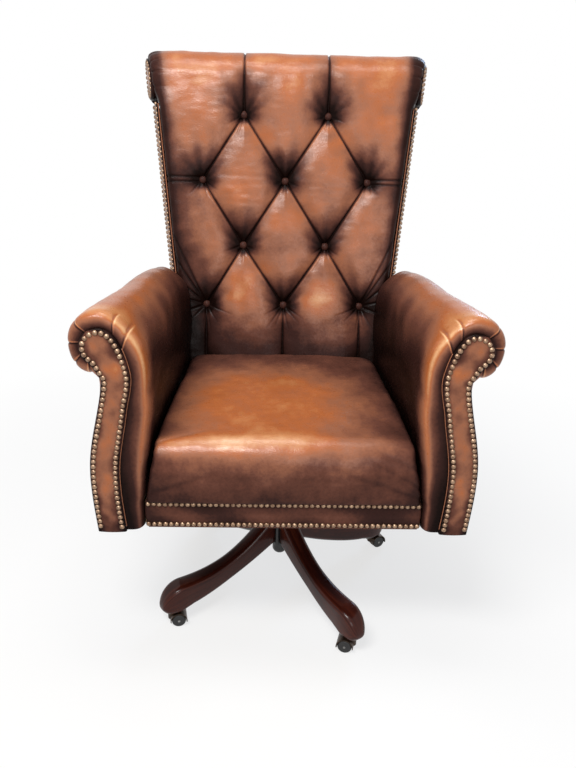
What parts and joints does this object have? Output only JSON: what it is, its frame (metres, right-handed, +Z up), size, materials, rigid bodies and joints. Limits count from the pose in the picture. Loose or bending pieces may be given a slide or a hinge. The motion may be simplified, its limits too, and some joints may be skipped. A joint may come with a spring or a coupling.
{
  "type": "swivel office chair",
  "caption": "Buttoned leather swivel office chair: tall reclined back with rolled top, scroll arms with nailed facings, crowned seat, timber star base on castors, screw lift and sprung tilt.",
  "frame": {"origin": "on the floor, under the swivel axis", "axes": "+Z up, the sitter faces -Y, +X to the right of someone facing the chair's front"},
  "size_m": [0.7364, 0.7338, 1.1244],
  "materials": {
    "mahogany": "gloss",
    "frame_timber": "matte",
    "black_steel": "satin",
    "steel": "satin",
    "spring_steel": "satin",
    "brass": "satin",
    "bronze_paint": "satin",
    "black_plastic": "satin",
    "webbing": "matte",
    "black_cloth": "matte",
    "tan_leather": "satin",
    "dark_leather": "satin"
  },
  "bodies": {
    "base": {"base_hub": "black_steel", "leg_front_right": "mahogany", "leg_back_right": "mahogany", "leg_back_left": "mahogany", "leg_front_left": "mahogany", "leg_studs": "steel", "lift_tube": "black_steel", "lift_tube_cap": "black_steel", "guide_key": "steel", "castor_sockets": "brass", "thrust_washer": "brass"},
    "castor_front_right": {"castor_front_right_hood": "bronze_paint"},
    "castor_front_right_wheelset": {"castor_front_right_axle": "steel", "castor_front_right_wheels": "black_plastic"},
    "castor_back_right": {"castor_back_right_hood": "bronze_paint"},
    "castor_back_right_wheelset": {"castor_back_right_axle": "steel", "castor_back_right_wheels": "black_plastic"},
    "castor_back_left": {"castor_back_left_hood": "bronze_paint"},
    "castor_back_left_wheelset": {"castor_back_left_axle": "steel", "castor_back_left_wheels": "black_plastic"},
    "castor_front_left": {"castor_front_left_hood": "bronze_paint"},
    "castor_front_left_wheelset": {"castor_front_left_axle": "steel", "castor_front_left_wheels": "black_plastic"},
    "spindle": {"spindle": "steel", "swivel_bearing": "steel", "circlip": "steel"},
    "height_wheel": {"height_wheel": "black_steel"},
    "yoke": {"tilt_yoke": "black_steel", "pivot_pin": "steel", "spring_cup_lower": "steel", "tilt_spring": "spring_steel"},
    "tension": {"tension_knob": "black_plastic", "tension_bolt": "steel"},
    "seat": {"tilt_plate": "black_steel", "plate_bolts": "steel", "spring_cup_upper": "steel", "front_rail": "frame_timber", "rear_rail": "frame_timber", "side_rails": "frame_timber", "corner_blocks": "frame_timber", "seat_bearers": "frame_timber", "seat_webbing": "webbing", "dust_cover": "black_cloth", "front_border": "tan_leather", "seat_cushion": "tan_leather", "arm_right": "tan_leather", "arm_left": "tan_leather", "arm_right_frame": "frame_timber", "arm_left_frame": "frame_timber", "arm_right_facing": "tan_leather", "arm_left_facing": "tan_leather", "back_cushion": "tan_leather", "back_buttons": "dark_leather", "back_posts": "frame_timber", "back_rails": "frame_timber", "back_rear_panel": "tan_leather", "back_right_facing": "tan_leather", "back_left_facing": "tan_leather"}
  },
  "joints": [
    {"name": "castor_front_right_swivel", "type": "hinge", "parent": "base", "child": "castor_front_right", "pos_m": [0.14869, -0.22896, 0.03], "axis": [0, 0, 1], "continuous": true},
    {"name": "castor_front_right_roll", "type": "hinge", "parent": "castor_front_right", "child": "castor_front_right_wheelset", "pos_m": [0.13613, -0.22559, 0.015], "axis": [-0.2588, -0.9659, 0], "continuous": true},
    {"name": "castor_back_right_swivel", "type": "hinge", "parent": "base", "child": "castor_back_right", "pos_m": [0.22896, 0.14869, 0.03], "axis": [0, 0, 1], "continuous": true},
    {"name": "castor_back_right_roll", "type": "hinge", "parent": "castor_back_right", "child": "castor_back_right_wheelset", "pos_m": [0.24074, 0.15418, 0.015], "axis": [-0.4226, 0.9063, 0], "continuous": true},
    {"name": "castor_back_left_swivel", "type": "hinge", "parent": "base", "child": "castor_back_left", "pos_m": [-0.14869, 0.22896, 0.03], "axis": [0, 0, 1], "continuous": true},
    {"name": "castor_back_left_roll", "type": "hinge", "parent": "castor_back_left", "child": "castor_back_left_wheelset", "pos_m": [-0.15519, 0.24022, 0.015], "axis": [-0.866, -0.5, 0], "continuous": true},
    {"name": "castor_front_left_swivel", "type": "hinge", "parent": "base", "child": "castor_front_left", "pos_m": [-0.22896, -0.14869, 0.03], "axis": [0, 0, 1], "continuous": true},
    {"name": "castor_front_left_roll", "type": "hinge", "parent": "castor_front_left", "child": "castor_front_left_wheelset", "pos_m": [-0.21616, -0.14643, 0.015], "axis": [-0.1736, 0.9848, 0], "continuous": true},
    {"name": "spindle_lift", "type": "slide", "parent": "base", "child": "spindle", "axis": [0, 0, 1], "range_m": [-0.01, 0.06]},
    {"name": "height_wheel_turn", "type": "hinge", "parent": "base", "child": "height_wheel", "pos_m": [0, 0, 0.2213], "axis": [0, 0, 1], "range_deg": [-3601, 601]},
    {"name": "seat_swivel", "type": "hinge", "parent": "spindle", "child": "yoke", "pos_m": [0, 0, 0.2606], "axis": [0, 0, 1], "continuous": true},
    {"name": "seat_tilt", "type": "hinge", "parent": "yoke", "child": "seat", "pos_m": [0, -0.04, 0.2926], "axis": [-1, 0, 0], "range_deg": [0, 9], "stiffness_Nm_per_rad": 150, "springref_deg": -28.65, "deforming": ["tilt_spring"]},
    {"name": "tension_knob_turn", "type": "hinge", "parent": "yoke", "child": "tension", "pos_m": [0, 0.1, 0.2606], "axis": [0, 0, 1], "range_deg": [-720, 720]}
  ],
  "couplings": [
    {"joint": "height_wheel_turn", "follows": "spindle_lift", "rad_per_m": -1047.2}
  ]
}
